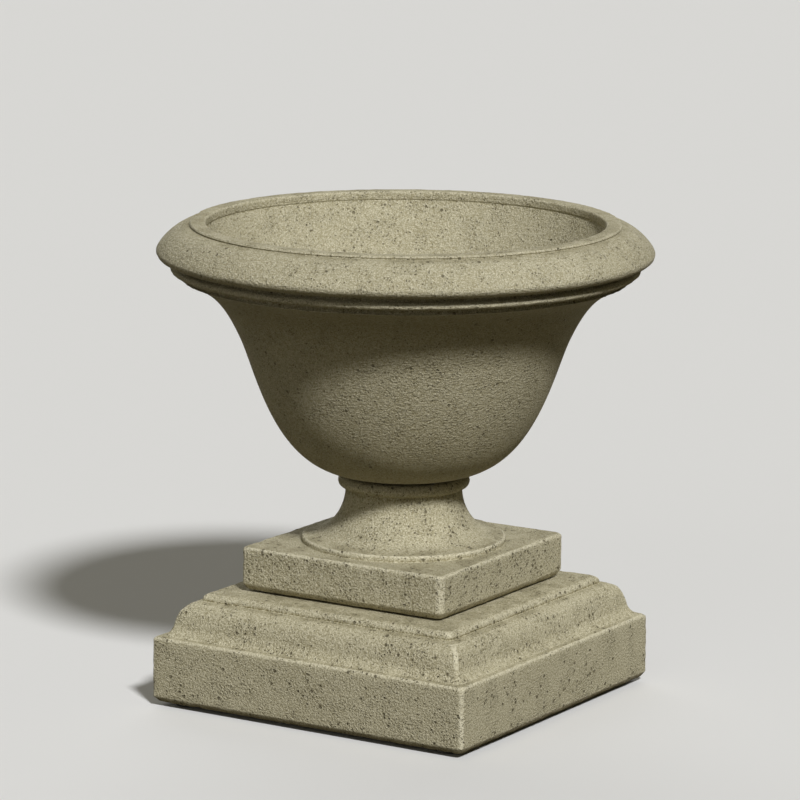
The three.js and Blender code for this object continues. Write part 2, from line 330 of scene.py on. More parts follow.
def stone_body(
    name: str,
    outline: Outline,
    plan: Plan,
    corner_of: Callable[[float, float], float],
    erosion: Erosion,
    height: float,
    spacing: float,
) -> bpy.types.Object:
    """Makes one casting from an outline that closes on itself.

    Each vertex carries two values for the finish: how much it lies on a worn arris, and how
    much it lies in a recess, where the finish paints shade and dirt.

    Args:
        name: Name of the piece.
        outline: Half widths and heights above the piece's own underside.
        plan: How the piece runs round.
        corner_of: Gives the corner radius at a half width and a height.
        erosion: How the surface has worn back.
        height: Height of the piece's underside above the ground.
        spacing: The widest step along the outline.

    Returns:
        The new object.
    """
    stations = outline.softened(EDGE_ROUNDING).stations(spacing)[:-1]
    lapped = np.concatenate([stations[-LAP:], stations, stations[:LAP]])
    bend, wide_bend = (bends(lapped, reach)[LAP:-LAP] for reach in (EDGE_REACH, HOLLOW_REACH))
    rings, corners = zip(*(plan.ring(out, corner_of(out, up)) for out, up in stations))
    points = raised(np.array(rings), stations[:, 1] + height)
    across = np.roll(points, -1, axis=1) - np.roll(points, 1, axis=1)
    along = np.roll(points, -1, axis=0) - np.roll(points, 1, axis=0)
    normals = np.cross(across, along)
    normals /= np.linalg.norm(normals, axis=2, keepdims=True)
    hollow = np.clip(-np.minimum(bend, wide_bend), 0.0, 1.0)[:, None]
    upright = np.abs(normals[:, :, 2]) < LEVEL_NORMAL
    corner_arris = np.array(corners) * upright * np.clip(1.0 - 3.0 * hollow, 0.0, 1.0)
    arris = np.clip(np.maximum(bend[:, None], corner_arris), 0.0, 1.0)
    recess = np.broadcast_to(hollow, arris.shape)
    places = zip(points.reshape(-1, 3), arris.flat)
    depths = np.array([erosion.depth(Vector(point), float(edge)) for point, edge in places])
    piece = loft(name, points - normals * depths.reshape(*arris.shape, 1))
    for label, values in (("arris", arris), ("recess", recess)):
        attribute = piece.data.attributes.new(label, "FLOAT", "POINT")
        attribute.data.foreach_set("value", np.ascontiguousarray(values, np.float32).reshape(-1))
    return piece


def dressed(
    piece: bpy.types.Object, material: bpy.types.Material, body: str, node: str
) -> bpy.types.Object:
    """Gives a piece its material, its body and the node that it stands for.

    Args:
        piece: The piece.
        material: Its material.
        body: The body that it moves with.
        node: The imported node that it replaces.

    Returns:
        The piece.
    """
    piece.data.materials.append(material)
    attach(piece, body)
    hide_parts(node)
    return piece


class Link:
    """A node's socket that takes part in sums: operators add Math nodes to the material."""

    def __init__(self, graph: "Graph", socket: bpy.types.NodeSocket) -> None:
        """Wraps an output socket of a graph's node."""
        self.graph = graph
        self.socket = socket

    def _math(self, operation: str, *values: "Link | float") -> "Link":
        """Adds one Math node.

        Args:
            operation: The Math node's operation.
            values: Its inputs in order.

        Returns:
            Its result.
        """
        node = self.graph.node("ShaderNodeMath", {"operation": operation}, dict(enumerate(values)))
        return Link(self.graph, node.outputs[0])

    def __add__(self, other: "Link | float") -> "Link":
        """Adds a value."""
        return self._math("ADD", self, other)

    __radd__ = __add__

    def __mul__(self, other: "Link | float") -> "Link":
        """Multiplies by a value."""
        return self._math("MULTIPLY", self, other)

    __rmul__ = __mul__

    def __sub__(self, other: "Link | float") -> "Link":
        """Takes a value away."""
        return self._math("SUBTRACT", self, other)

    def __rsub__(self, other: "Link | float") -> "Link":
        """Takes this away from a value."""
        return self._math("SUBTRACT", other, self)

    def __truediv__(self, other: "Link | float") -> "Link":
        """Divides by a value."""
        return self._math("DIVIDE", self, other)

    def least(self, other: "Link | float") -> "Link":
        """Gives the smaller of two values."""
        return self._math("MINIMUM", self, other)

    def most(self, other: "Link | float") -> "Link":
        """Gives the larger of two values."""
        return self._math("MAXIMUM", self, other)

    def ramp(self, low: "Link | float", high: "Link | float") -> "Link":
        """Rises smoothly from 0 to 1.

        Args:
            low: The value at which it leaves 0; it may lie above high for a falling ramp.
            high: The value at which it reaches 1.

        Returns:
            A value between 0 and 1.
        """
        settings = {"data_type": "FLOAT", "interpolation_type": "SMOOTHSTEP"}
        values = {"Value": self, "From Min": low, "From Max": high}
        node = self.graph.node("ShaderNodeMapRange", settings, values)
        return Link(self.graph, node.outputs["Result"])


class Graph:
    """The nodes of one material or world."""

    def __init__(self, owner: bpy.types.Material | bpy.types.World) -> None:
        """Starts with no nodes."""
        self.owner = owner
        owner.use_nodes = True
        self.tree = owner.node_tree
        self.tree.nodes.clear()

    def node(
        self, kind: str, settings: dict[str, object], values: dict[int | str, object]
    ) -> bpy.types.Node:
        """Adds one node.

        Args:
            kind: The node's type.
            settings: Its properties, which are set first.
            values: What its input sockets hold or are linked to, by name or number.

        Returns:
            The node.
        """
        node = self.tree.nodes.new(kind)
        for key, value in settings.items():
            setattr(node, key, value)
        for key, value in values.items():
            if isinstance(value, Link):
                self.tree.links.new(value.socket, node.inputs[key])
            else:
                node.inputs[key].default_value = value
        return node

    def place(self) -> Link:
        """Gives the place on the piece, in metres."""
        node = self.node("ShaderNodeTexCoord", {}, {})
        return Link(self, node.outputs["Object"])

    def underside(self) -> Link:
        """Gives 1 where the surface faces straight down, 0 on an upright face and -1 on top."""
        node = self.node("ShaderNodeNewGeometry", {}, {})
        parts = self.node("ShaderNodeSeparateXYZ", {}, {0: Link(self, node.outputs["Normal"])})
        return 0.0 - Link(self, parts.outputs["Z"])

    def attribute(self, name: str) -> Link:
        """Reads a value that the mesh's vertices carry."""
        node = self.node("ShaderNodeAttribute", {"attribute_name": name}, {})
        return Link(self, node.outputs["Fac"])

    def stretch(self, place: Link, factors: tuple[float, float, float]) -> Link:
        """Scales a place by a factor along each axis."""
        values = {0: place, 1: factors}
        node = self.node("ShaderNodeVectorMath", {"operation": "MULTIPLY"}, values)
        return Link(self, node.outputs["Vector"])

    def noise(self, place: Link, size: float, detail: float, roughness: float = 0.55) -> Link:
        """Adds cloudy noise.

        Args:
            place: Where it is read.
            size: Width of its largest features, in metres.
            detail: How many finer layers lie on them.
            roughness: How strong the finer layers are.

        Returns:
            A value around 0.5.
        """
        values = {"Vector": place, "Scale": 1.0 / size, "Detail": detail, "Roughness": roughness}
        return Link(self, self.node("ShaderNodeTexNoise", {}, values).outputs[0])

    def cells(self, place: Link, size: float) -> tuple[Link, Link]:
        """Scatters points and measures from them.

        Args:
            place: Where they are read.
            size: The usual distance between two points, in metres.

        Returns:
            The distance to the nearest point as a share of size, and that point's own
            random value between 0 and 1.
        """
        values = {"Vector": place, "Scale": 1.0 / size, "Randomness": 1.0}
        node = self.node("ShaderNodeTexVoronoi", {"feature": "F1"}, values)
        parts = self.node("ShaderNodeSeparateColor", {}, {"Color": Link(self, node.outputs["Color"])})
        return Link(self, node.outputs["Distance"]), Link(self, parts.outputs[0])

    def warp(self, place: Link, size: float, reach: float) -> Link:
        """Shifts a place to and fro, so that what is read there has ragged edges.

        Args:
            place: The place.
            size: Width of the raggedness, in metres.
            reach: How far it is shifted, in metres.

        Returns:
            The shifted place.
        """
        values = {"Vector": place, "Scale": 1.0 / size, "Detail": 1.0}
        cloud = Link(self, self.node("ShaderNodeTexNoise", {}, values).outputs["Color"])
        settings, amount = {"operation": "MULTIPLY_ADD"}, (reach, reach, reach)
        node = self.node("ShaderNodeVectorMath", settings, {0: cloud, 1: amount, 2: place})
        return Link(self, node.outputs["Vector"])

    def mix(self, factor: Link, first: Link | Colour, second: Link | Colour) -> Link:
        """Mixes two colours.

        Args:
            factor: How much of the second colour shows.
            first: A colour or a link to one.
            second: A colour or a link to one.

        Returns:
            The mixed colour.
        """
        node = self.node("ShaderNodeMix", {"data_type": "RGBA"}, {0: factor, 6: first, 7: second})
        return Link(self, node.outputs[2])

    def bump(self, height: Link, depth: float) -> Link:
        """Turns a height into a surface normal.

        Args:
            height: The height, between about 0 and 1.
            depth: How many metres a height of 1 stands for.

        Returns:
            The normal.
        """
        values = {"Height": height, "Distance": depth}
        return Link(self, self.node("ShaderNodeBump", {}, values).outputs[0])

    def finish(self, values: dict[str, object]) -> bpy.types.Material:
        """Closes the material with a Principled shader.

        Args:
            values: What the shader's sockets hold or are linked to.

        Returns:
            The material.
        """
        shader = self.node("ShaderNodeBsdfPrincipled", {}, values)
        surface = Link(self, shader.outputs[0])
        self.node("ShaderNodeOutputMaterial", {}, {"Surface": surface})
        return self.owner


def tint(red: float, green: float, blue: float) -> Colour:
    """Gives a colour, in linear light, with full alpha."""
    return (red, green, blue, 1.0)


@dataclass(frozen=True)
class StoneFinish:
    """Cast stone: sandy grain, clusters of air pits, level streaks, pale arrises, painted shade and dirt
    in recesses and pits, and painted shade on undersides.

    Attributes:
        name: The material's name.
        grain: How strongly the sand stands out in relief.
        specks: How many of the finest pits there are.
        pocks: How many wider ones.
        holes: How many of the widest.
        streak: How strong the level streaks are.
        recess_dirt_and_shade: How dark the recesses are painted, with dirt and painted shade.
        wear: How pale the arrises are.
        body: The stone's usual colour.
        pale: Colour of pale grains and worn edges.
        dull: Colour of dark grains, streaks and level faces.
        painted_shade: Colour of the painted shade in recesses and on undersides.
        pit_dirt_and_shade: Colour inside a pit, painted shade and dirt in the hole.
        seed: Shifts the pattern.
    """

    name: str
    grain: float = 1.0
    specks: float = 0.3
    pocks: float = 0.6
    holes: float = 0.2
    streak: float = 0.0
    recess_dirt_and_shade: float = 1.0
    wear: float = 1.0
    body: Colour = tint(0.56, 0.519, 0.366)
    pale: Colour = tint(0.74, 0.695, 0.525)
    dull: Colour = tint(0.33, 0.294, 0.18)
    painted_shade: Colour = tint(0.2, 0.168, 0.075)
    pit_dirt_and_shade: Colour = tint(0.095, 0.078, 0.038)
    cloud_size: float = 85 * MM
    patch_size: float = 26 * MM
    sand_size: float = 2.6 * MM
    grit_size: float = 1.2 * MM
    streak_size: float = 2.4 * MM
    speck_spacing: float = 3 * MM
    pock_spacing: float = 5.8 * MM
    hole_spacing: float = 12.5 * MM
    relief: float = 2.4 * MM
    seed: float = 0.0

    def pits(self, graph: Graph, place: Link, size: float, radius: float, share: Link) -> Link:
        """Scatters round pits of mixed widths.

        Args:
            graph: The material's nodes.
            place: Where the pits are read.
            size: The usual distance between pits, in metres.
            radius: The widest pit's radius, as a share of size.
            share: The share of the places that has a pit.

        Returns:
            1 in the middle of a pit and 0 outside.
        """
        distance, chance = graph.cells(place, size)
        own = (share - chance) / share.most(0.05)
        width = radius * (own.most(0.0) * 0.55 + 0.45)
        return distance.ramp(width, width * 0.55) * chance.ramp(share, share - 0.02)

    def make(self) -> bpy.types.Material:
        """Builds the material.

        Returns:
            The material.
        """
        graph = Graph(bpy.data.materials.new(self.name))
        shift = (self.seed, self.seed * 0.7, -self.seed)
        moved = graph.node("ShaderNodeVectorMath", {"operation": "ADD"}, {0: graph.place(), 1: shift})
        place = Link(graph, moved.outputs["Vector"])
        arris, recess, under = graph.attribute("arris"), graph.attribute("recess"), graph.underside()
        cloud = graph.noise(place, self.cloud_size, 3.0)
        patch = graph.noise(place, self.patch_size, 3.0, 0.6)
        sand = graph.noise(place, self.sand_size, 2.0, 0.7)
        grit = graph.noise(place, self.grit_size, 1.0, 0.6)
        ragged = graph.warp(place, 1.4 * MM, 1.2 * MM)
        level = graph.stretch(ragged, (0.42, 0.42, 1.0))
        streaks = graph.noise(level, self.streak_size, 2.0, 0.65)

        # Pits of all widths crowd together on the same patches.
        crowd = patch.ramp(0.45, 0.6)
        fine, wide, rare = 0.35 + 0.8 * crowd, 0.06 + 0.94 * crowd, 0.2 + crowd
        specks = self.pits(graph, ragged, self.speck_spacing, 0.42, self.specks * fine)
        pocks = self.pits(graph, ragged, self.pock_spacing, 0.4, self.pocks * wide)
        holes = self.pits(graph, ragged, self.hole_spacing, 0.23, self.holes * rare)

        # Each layer covers the ones before it: how much of it shows, and its colour.
        tone = cloud.ramp(0.25, 0.75) * 0.2 + sand.ramp(0.38, 0.6) * 0.8
        worn = arris.ramp(0.2, 0.8) * (0.1 + 1.3 * sand.ramp(0.3, 0.6) * patch)
        settled = under.ramp(-0.9, -0.985) * (0.15 + 0.4 * patch.ramp(0.4, 0.6))
        nook_dirt_and_shade = recess.ramp(0.4, 0.9) * under.ramp(-0.7, -0.1)
        layers = (
            (grit.ramp(0.5, 0.64) * 0.7, self.pale),
            (grit.ramp(0.46, 0.34) * 0.7, self.dull),
            (streaks.ramp(0.5, 0.34) * (0.6 * self.streak), self.dull),
            (worn * self.wear, self.pale),
            (settled, self.dull),
            # Painted shade, with some dirt, in recesses that don't face up.
            (nook_dirt_and_shade * sand.ramp(0.75, 0.35) * self.recess_dirt_and_shade, self.painted_shade),
            # Painted shade: faces that turn downward are darker.
            (under.ramp(0.15, 0.8) * 0.5, self.painted_shade),
            # Pits are painted dark for the shade and dirt inside them.
            (specks * 0.6, self.pit_dirt_and_shade),
            (pocks.most(holes) * 0.7, self.pit_dirt_and_shade),
        )
        colour = graph.mix(tone - 0.15 * self.pocks * crowd, self.dull, self.body)
        for share, cover in layers:
            colour = graph.mix(share, colour, cover)

        rough = (sand + grit * 0.3 - 0.65) * self.grain + (streaks - 0.5) * (0.9 * self.streak)
        height = rough * (0.8 + 0.4 * crowd) - specks * 0.4 - pocks * 0.6 - holes
        return graph.finish({
            "Base Color": colour,
            "Roughness": 0.92 - 0.1 * sand,
            "Specular IOR Level": 0.2,
            "Normal": graph.bump(height, self.relief),
        })


@dataclass(frozen=True)
class MortarFinish:
    """Lime mortar: dark, sandy and dull."""

    name: str = "lime_mortar"
    body: Colour = tint(0.19, 0.17, 0.12)
    dull: Colour = tint(0.1, 0.085, 0.055)
    sand_size: float = 1.8 * MM
    lump_size: float = 9 * MM
    relief: float = 1 * MM

    def make(self) -> bpy.types.Material:
        """Builds the material.

        Returns:
            The material.
        """
        graph = Graph(bpy.data.materials.new(self.name))
        place = graph.place()
        sand = graph.noise(place, self.sand_size, 3.0, 0.7)
        lumps = graph.noise(place, self.lump_size, 2.0)
        return graph.finish({
            "Base Color": graph.mix(sand.ramp(0.35, 0.65), self.dull, self.body),
            "Roughness": 0.95 - 0.05 * sand,
            "Specular IOR Level": 0.2,
            "Normal": graph.bump(sand * 0.4 + lumps * 0.6, self.relief),
        })


@dataclass(frozen=True)
class MouldedFinish:
    """Moulded plastic or rubber: one dull colour with scuffs, fine grain and dust."""

    name: str
    body: Colour
    dust_share: float
    roughness: float
    relief: float
    dust: Colour = tint(0.16, 0.145, 0.11)
    film_size: float = 14 * MM
    grain_size: float = 0.7 * MM
    scuff_size: float = 1.3 * MM

    def make(self) -> bpy.types.Material:
        """Builds the material.

        Returns:
            The material.
        """
        graph = Graph(bpy.data.materials.new(self.name))
        place = graph.place()
        film = graph.noise(place, self.film_size, 3.0, 0.6)
        grain = graph.noise(place, self.grain_size, 1.0)
        scuffs = graph.noise(graph.stretch(place, (1.0, 1.0, 0.15)), self.scuff_size, 2.0)
        cover = film.ramp(0.35, 0.75) * self.dust_share + scuffs.ramp(0.6, 0.75) * 0.12
        return graph.finish({
            "Base Color": graph.mix(cover, self.body, self.dust),
            "Roughness": (self.roughness + 0.25 * cover).least(1.0),
            "Normal": graph.bump(grain * 0.5 + scuffs * 0.5, self.relief),
        })


@dataclass
class Bowl:
    """The wide bell-shaped bowl, one casting with its moulded rim and its hollow."""

    seat_radius: float = 77 * MM
    belly_height: float = 151 * MM
    waist_radius: float = 182.5 * MM
    flare_height: float = 66.5 * MM
    fillet_set: float = 11.8 * MM
    fillet_height: float = 1.8 * MM
    fillet_projection: float = 2.5 * MM
    quirk_height: float = 4.5 * MM
    quirk_depth: float = 3 * MM
    bead_set: float = 1.5 * MM
    bead_height: float = 10 * MM
    recess_height: float = 4 * MM
    recess_depth: float = 7.5 * MM
    rim_radius: float = 274.5 * MM
    roll_lip_set: float = 13.5 * MM
    roll_under_height: float = 9.7 * MM
    roll_height: float = 28.2 * MM
    band_width: float = 18.5 * MM
    band_height: float = 3.8 * MM
    band_quirk: float = 1.2 * MM
    band_outer_arris: float = 2 * MM
    band_inner_arris: float = 2.5 * MM
    mouth_radius: float = 219.5 * MM
    lip_depth: float = 9.3 * MM
    lip_undercut: float = 1.2 * MM
    wall_thickness: float = 31 * MM
    floor_thickness: float = 32 * MM
    floor_radius: float = 60 * MM
    bore_radius: float = 17.6 * MM
    spacing: float = 4.1 * MM
    plan: Plan = Plan(224)

    def corner(self, out: float, up: float) -> float:
        """Gives the corner radius, which makes a circle of every level."""
        return out

    def outside(self) -> Outline:
        """Draws the outline up the outside, from the drain hole's foot to the roll's top.

        Returns:
            The outline, still open.
        """
        lip_radius = self.rim_radius - self.roll_lip_set
        bead_radius = lip_radius - self.bead_set
        fillet_radius = bead_radius - self.fillet_set
        recess_radius = bead_radius - self.recess_depth
        band_radius = self.mouth_radius + self.band_width
        flare_top = self.belly_height + self.flare_height
        fillet_top = flare_top + self.fillet_height
        bead_foot = fillet_top + self.quirk_height
        bead_top = bead_foot + self.bead_height
        roll_foot = bead_top + self.recess_height
        nose = roll_foot + self.roll_under_height
        belly = ((0.667, 0.11), (0.845, 0.764))
        flare = ((0.317, 0.66), (0.57, 0.83))
        roll_under = ((0.6, 0.02), (1.0, 0.42))
        roll = ((0.0, 0.12), (0.42, 0.92))
        return (
            Outline(self.bore_radius, 0.0)
            .line(self.seat_radius, 0.0)
            .curve(self.waist_radius, self.belly_height, belly, steps=40)
            .curve(fillet_radius - self.fillet_projection, flare_top, flare)
            .line(fillet_radius, flare_top)
            .line(fillet_radius, fillet_top)
            .line(fillet_radius - self.quirk_depth, fillet_top)
            .line(fillet_radius - self.quirk_depth, bead_foot)
            .line(recess_radius, bead_foot)
            .curve(bead_radius, bead_foot + self.bead_height / 2, FROM_LEVEL, steps=6)
            .curve(recess_radius, bead_top, FROM_UPRIGHT, steps=6)
            .line(recess_radius, roll_foot)
            .line(lip_radius, roll_foot)
            .curve(self.rim_radius, nose, roll_under, steps=12)
            .curve(band_radius - self.band_quirk, nose + self.roll_height, roll)
        )

    def outline(self, height: float) -> Outline:
        """Draws the whole outline, over the lip and down the inside.

        Args:
            height: Height of the bowl.

        Returns:
            The closed outline.
        """
        band_radius = self.mouth_radius + self.band_width
        lip_foot = height - self.lip_depth
        inner_flare = ((0.3, 0.36), (0.7, 0.66))
        inner_belly = ((0.25, 0.42), (0.43, 0.98))
        return (
            self.outside()
            .line(band_radius, height - self.band_height + self.band_quirk)
            .line(band_radius, height - self.band_outer_arris)
            .curve(band_radius - self.band_outer_arris, height, FROM_UPRIGHT, steps=6)
            .line(self.mouth_radius + self.band_inner_arris, height)
            .curve(self.mouth_radius, height - self.band_inner_arris, FROM_LEVEL, steps=6)
            .line(self.mouth_radius, lip_foot)
            .line(self.mouth_radius + self.lip_undercut, lip_foot - self.lip_undercut)
            .curve(self.waist_radius - self.wall_thickness, self.belly_height, inner_flare)
            .curve(self.floor_radius, self.floor_thickness, inner_belly, steps=30)
            .line(self.bore_radius, self.floor_thickness)
            .line(self.bore_radius, 0.0)
        )

    def build(self) -> bpy.types.Object:
        """Builds and dresses the bowl.

        Returns:
            The piece.
        """
        low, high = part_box("bowl")
        outline = self.outline(high.z - low.z)
        erosion = Erosion(seed=1.3)
        piece = stone_body("bowl_stone", outline, self.plan, self.corner, erosion, low.z, self.spacing)
        finish = StoneFinish(
            "bowl_stone",
            body=tint(0.505, 0.472, 0.345),
            grain=0.8,
            specks=0.65,
            pocks=0.15,
            holes=0.05,
            streak=0.7,
            recess_dirt_and_shade=0.35,
            wear=0.4,
            seed=0.31,
        )
        return dressed(piece, finish.make(), "vessel", "bowl")


@dataclass
class Foot:
    """The foot: square slab, round flange, hollow-curved stem and collar."""

    slab_half: float = 130.75 * MM
    slab_height: float = 49 * MM
    slab_corner: float = 7 * MM
    slab_arris: float = 4 * MM
    slab_bevel_depth: float = 4.5 * MM
    slab_bevel_height: float = 7 * MM
    flange_radius: float = 113.8 * MM
    flange_height: float = 7 * MM
    flange_arris: float = 3 * MM
    stem_height: float = 54 * MM
    neck_radius: float = 65 * MM
    collar_projection: float = 8.5 * MM
    collar_undercut: float = 2 * MM
    collar_seat_radius: float = 66 * MM
    sleeve_seat_depth: float = 60 * MM
    socket_radius: float = 17.6 * MM
    drain_radius: float = 14 * MM
    spacing: float = 3.1 * MM
    plan: Plan = Plan(352, 1.25)

    def corner(self, out: float, up: float) -> float:
        """Gives the corner radius: small on the slab, and a circle everywhere else."""
        on_slab = out > self.flange_radius + TOLERANCE and up < self.slab_height + TOLERANCE
        return self.slab_corner if on_slab else out

    def outline(self, height: float) -> Outline:
        """Draws the closed outline.

        Args:
            height: Height of the foot.

        Returns:
            The outline.
        """
        flange_top = self.slab_height + self.flange_height
        neck_top = flange_top + self.stem_height
        collar_nose = (neck_top + height) / 2
        seat = height - self.sleeve_seat_depth
        return (
            Outline(self.drain_radius, 0.0)
            .line(self.slab_half - self.slab_bevel_depth, 0.0)
            .line(self.slab_half, self.slab_bevel_height)
            .line(self.slab_half, self.slab_height - self.slab_arris)
            .curve(self.slab_half - self.slab_arris, self.slab_height, FROM_UPRIGHT, steps=6)
            .line(self.flange_radius, self.slab_height)
            .line(self.flange_radius, flange_top - self.flange_arris)
            .curve(self.flange_radius - self.flange_arris, flange_top, FROM_UPRIGHT, steps=5)
            .curve(self.neck_radius, neck_top, FROM_LEVEL, steps=30)
            .line(self.neck_radius + self.collar_undercut, neck_top)
            .curve(self.neck_radius + self.collar_projection, collar_nose, FROM_LEVEL, steps=6)
            .curve(self.collar_seat_radius, height, FROM_UPRIGHT, steps=6)
            .line(self.socket_radius, height)
            .line(self.socket_radius, seat)
            .line(self.drain_radius, seat)
            .line(self.drain_radius, 0.0)
        )

    def build(self) -> bpy.types.Object:
        """Builds and dresses the foot.

        Returns:
            The piece.
        """
        low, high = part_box("foot")
        erosion = Erosion(seed=4.7, chip_threshold=0.3)
        outline = self.outline(high.z - low.z)
        piece = stone_body("foot_stone", outline, self.plan, self.corner, erosion, low.z, self.spacing)
        finish = StoneFinish(
            "foot_stone",
            body=tint(0.53, 0.492, 0.347),
            grain=0.9,
            specks=0.75,
            pocks=0.6,
            holes=0.1,
            recess_dirt_and_shade=0.5,
            seed=1.9,
        )
        return dressed(piece, finish.make(), "stand", "foot")


@dataclass
class Plinth:
    """The low square plinth with its fascia, ledge, ogee and platform, hollow underneath."""

    half: float = 201.25 * MM
    corner_radius: float = 4 * MM
    bevel_depth: float = 4.5 * MM
    bevel_height: float = 6.5 * MM
    fascia_height: float = 74.5 * MM
    fascia_arris: float = 4 * MM
    ledge_width: float = 7.5 * MM
    ogee_width: float = 30 * MM
    ogee_height: float = 37.5 * MM
    ogee_turn: tuple[float, float] = (0.31, 0.33)
    ogee_sill: float = 2.2 * MM
    platform_curve_width: float = 8.5 * MM
    platform_curve_height: float = 6.2 * MM
    wall: float = 50 * MM
    top_thickness: float = 46 * MM
    hollow_draft: float = 5 * MM
    drain_radius: float = 28 * MM
    spacing: float = 3.7 * MM
    plan: Plan = Plan(440, 1.2)

    def corner(self, out: float, up: float) -> float:
        """Gives the corner radius: small all over, and a circle at the drain hole."""
        return out if out < self.drain_radius + TOLERANCE else self.corner_radius

    def outline(self, height: float) -> Outline:
        """Draws the closed outline.

        Args:
            height: Height of the plinth.

        Returns:
            The outline.
        """
        ogee_foot = self.half - self.ledge_width
        ogee_top = self.fascia_height + self.ogee_height
        turn_out = ogee_foot - self.ogee_turn[0] * self.ogee_width
        turn_up = self.fascia_height + self.ogee_turn[1] * self.ogee_height
        ogee_hollow = ((0.3, 0.0), (0.93, 0.5))
        ogee_round = ((0.1, 0.72), (0.54, 1.0))
        platform = ogee_foot - self.ogee_width - self.ogee_sill
        hollow_top = height - self.top_thickness
        hollow_half = self.half - self.wall
        return (
            Outline(self.drain_radius, hollow_top)
            .line(hollow_half - self.hollow_draft, hollow_top)
            .line(hollow_half, 0.0)
            .line(self.half - self.bevel_depth, 0.0)
            .line(self.half, self.bevel_height)
            .line(self.half, self.fascia_height - self.fascia_arris)
            .curve(self.half - self.fascia_arris, self.fascia_height, FROM_UPRIGHT, steps=6)
            .line(ogee_foot, self.fascia_height)
            .curve(turn_out, turn_up, ogee_hollow, steps=10)
            .curve(ogee_foot - self.ogee_width, ogee_top, ogee_round, steps=14)
            .line(platform, ogee_top)
            .line(platform, height - self.platform_curve_height)
            .curve(platform - self.platform_curve_width, height, FROM_UPRIGHT, steps=8)
            .line(self.drain_radius, height)
            .line(self.drain_radius, hollow_top)
        )

    def build(self) -> bpy.types.Object:
        """Builds and dresses the plinth.

        Returns:
            The piece.
        """
        low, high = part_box("plinth")
        erosion = Erosion(wear=1.3 * MM, chip_threshold=0.26, seed=8.2)
        outline = self.outline(high.z - low.z)
        piece = stone_body("plinth_stone", outline, self.plan, self.corner, erosion, low.z, self.spacing)
        finish = StoneFinish("plinth_stone", grain=0.85, specks=0.6, pocks=0.5, holes=0.1, seed=3.4)
        return dressed(piece, finish.make(), "base", "plinth")


@dataclass
class SmallPieces:
    """What is hidden between and under the castings: sleeve, mortar, shims and pads."""

    sleeve_wall: float = 3 * MM
    sleeve_chamfer: float = 1 * MM
    pad_edge: float = 1.2 * MM
    pad_core: float = 1 * MM
    rounding: float = 0.6 * MM
    spacing: float = 6 * MM
    sides: int = 96

    def turned(self, name: str, outline: Outline, centre: tuple[float, float]) -> bpy.types.Object:
        """Makes a smooth turned piece about an upright axis.

        Args:
            name: Name of the piece.
            outline: Radii and heights above the ground, closed on itself.
            centre: Where its axis stands.

        Returns:
            The new object.
        """
        stations = outline.softened(self.rounding).stations(self.spacing)[:-1]
        circle, _ = Plan(self.sides).ring(1.0, 1.0)
        return loft(name, raised(stations[:, :1, None] * circle + centre, stations[:, 1]))

    def sleeve(self) -> bpy.types.Object:
        """Makes the drain sleeve, chamfered at both mouths.

        Returns:
            The piece.
        """
        low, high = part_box("drain_sleeve")
        outer = high.x
        inner = outer - self.sleeve_wall
        cut = self.sleeve_chamfer
        outline = (
            Outline(inner, low.z + cut)
            .line(inner + cut, low.z)
            .line(outer - cut, low.z)
            .line(outer, low.z + cut)
            .line(outer, high.z - cut)
            .line(outer - cut, high.z)
            .line(inner + cut, high.z)
            .line(inner, high.z - cut)
            .line(inner, low.z + cut)
        )
        finish = MouldedFinish(
            "pipe_plastic",
            body=tint(0.26, 0.27, 0.26),
            dust=tint(0.42, 0.4, 0.33),
            dust_share=0.45,
            roughness=0.45,
            relief=0.12 * MM,
        )
        piece = self.turned("drain_sleeve_pipe", outline, (0.0, 0.0))
        return dressed(piece, finish.make(), "stand", "drain_sleeve")

    def pad(self, corner: Corner, material: bpy.types.Material) -> bpy.types.Object:
        """Makes one levelling pad with rounded edges.

        Args:
            corner: Where it lies.
            material: Its material.

        Returns:
            The piece.
        """
        node = corner.node("levelling_pad")
        low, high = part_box(node)
        radius, edge = (high.x - low.x) / 2, self.pad_edge
        outline = (
            Outline(self.pad_core, low.z)
            .line(radius - edge, low.z)
            .line(radius, low.z + edge)
            .line(radius, high.z - edge)
            .line(radius - edge, high.z)
            .line(self.pad_core, high.z)
            .line(self.pad_core, low.z)
        )
        centre = ((low.x + high.x) / 2, (low.y + high.y) / 2)
        piece = self.turned(f"{node}_disc", outline, centre)
        return dressed(piece, material, "base", node)

    def build(self) -> list[bpy.types.Object]:
        """Builds and dresses all small pieces.

        Returns:
            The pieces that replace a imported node.
        """
        rubber = MouldedFinish(
            "pad_rubber",
            body=tint(0.022, 0.021, 0.02),
            dust_share=0.5,
            roughness=0.75,
            relief=0.2 * MM,
        ).make()
        packing = MouldedFinish(
            "packing_plastic",
            body=tint(0.06, 0.06, 0.056),
            dust_share=0.4,
            roughness=0.55,
            relief=0.15 * MM,
        ).make()
        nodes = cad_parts
        made = [self.sleeve()]
        nodes["bedding_ring"].data.materials[0] = MortarFinish().make()
        for corner in Corner:
            made.append(self.pad(corner, rubber))
            nodes[corner.node("setting_shim")].data.materials[0] = packing
        return made


@dataclass(frozen=True)
class Lamp:
    """A lamp far away.

    Attributes:
        name: Its name.
        turn: How far round from the front (-Y) side it stands, in radians.
        rise: How high it stands, in radians.
        spread: The angle that it fills, in radians, which softens its shadows.
        strength: Its strength; pi shows colours facing it as they are written.
        distance: How far away it stands, which its light doesn't depend on.
    """

    name: str
    turn: float
    rise: float
    spread: float
    strength: float
    distance: float = 4.0

    def build(self) -> bpy.types.Object:
        """Hangs the lamp.

        Returns:
            The lamp.
        """
        level = math.cos(self.rise)
        towards = Vector((math.sin(self.turn) * level, -math.cos(self.turn) * level, math.sin(self.rise)))
        data = bpy.data.lights.new(self.name, "SUN")
        data.angle = self.spread
        data.energy = self.strength
        lamp = bpy.data.objects.new(self.name, data)
        lamp.location = towards * self.distance
        lamp.rotation_mode = "QUATERNION"
        lamp.rotation_quaternion = (-towards).to_track_quat("-Z", "Y")
        bpy.context.scene.collection.objects.link(lamp)
        return lamp


